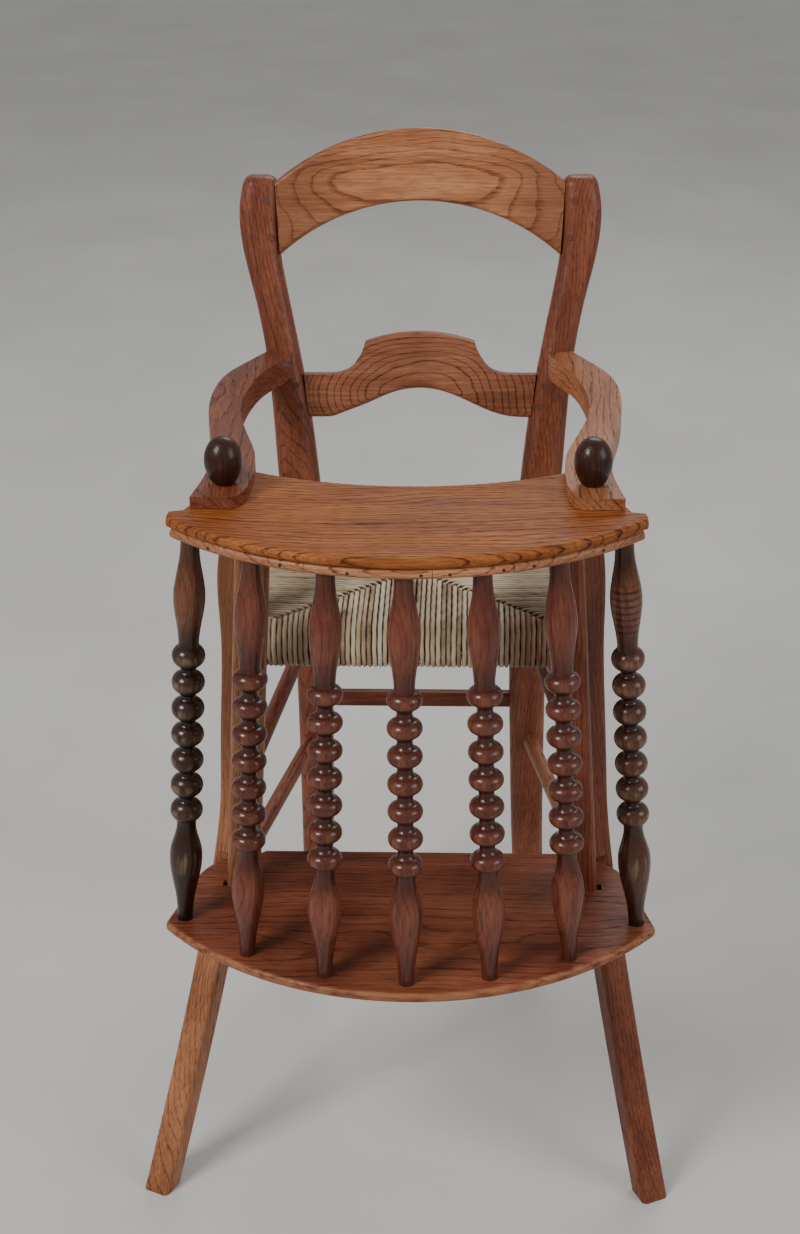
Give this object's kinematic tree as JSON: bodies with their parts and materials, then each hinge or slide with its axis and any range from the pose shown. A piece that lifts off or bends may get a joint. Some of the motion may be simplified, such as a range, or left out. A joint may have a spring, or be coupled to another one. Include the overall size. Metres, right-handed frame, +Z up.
{
  "type": "baby high chair",
  "caption": "Wooden baby high chair with a rush seat, curved back rails, swept legs, and a lift-out tray front with bobbin-turned spindles and a footrest.",
  "frame": {"origin": "floor level under the middle of the whole chair's box", "axes": "+Z up, -Y the way the child faces, +X to the right seen from the front"},
  "size_m": [0.5086, 0.5927, 0.9313],
  "materials": {
    "frame_wood": "waxed satin, warm orange-brown, strong open grain",
    "tray_wood": "waxed satin, warm brown with cathedral grain",
    "footrest_wood": "satin red-brown, worn along the front edge",
    "spindle_wood": "glossy dark red-brown turned wood",
    "peg_wood": "glossy, nearly black turned wood",
    "rush": "twisted rush strand, straw to olive brown",
    "nail_iron": "dull dark iron"
  },
  "bodies": {
    "chair": {"rear_leg_left": "frame_wood", "rear_leg_right": "frame_wood", "front_leg_left": "frame_wood", "front_leg_right": "frame_wood", "crest_rail": "frame_wood", "back_rail": "frame_wood", "arm_left": "frame_wood", "arm_right": "frame_wood", "joint_pins": "frame_wood", "seat_rail_front": "frame_wood", "seat_rail_rear": "frame_wood", "seat_rail_left": "frame_wood", "seat_rail_right": "frame_wood", "side_stretcher_upper_left": "frame_wood", "side_stretcher_upper_right": "frame_wood", "side_stretcher_lower_left": "frame_wood", "side_stretcher_lower_right": "frame_wood", "rear_stretcher": "frame_wood", "rush_seat": "rush"},
    "front_unit": {"tray": "tray_wood", "tray_bead": "tray_wood", "bead_nails": "nail_iron", "footrest": "footrest_wood", "upright_left": "tray_wood", "upright_right": "tray_wood", "spindle_1": "spindle_wood", "spindle_2": "spindle_wood", "spindle_3": "spindle_wood", "spindle_4": "spindle_wood", "spindle_5": "spindle_wood", "spindle_6": "spindle_wood", "spindle_7": "spindle_wood"},
    "peg_left_body": {"peg_left": "peg_wood"},
    "peg_right_body": {"peg_right": "peg_wood"}
  },
  "joints": [
    {"name": "front_unit_slide", "type": "slide", "parent": "chair", "child": "front_unit", "axis": [0, -1, 0], "range_m": [0, 0.3]},
    {"name": "peg_left_lift", "type": "slide", "parent": "chair", "child": "peg_left_body", "axis": [0, 0, 1], "range_m": [0, 0.045]},
    {"name": "peg_right_lift", "type": "slide", "parent": "chair", "child": "peg_right_body", "axis": [0, 0, 1], "range_m": [0, 0.045]}
  ]
}
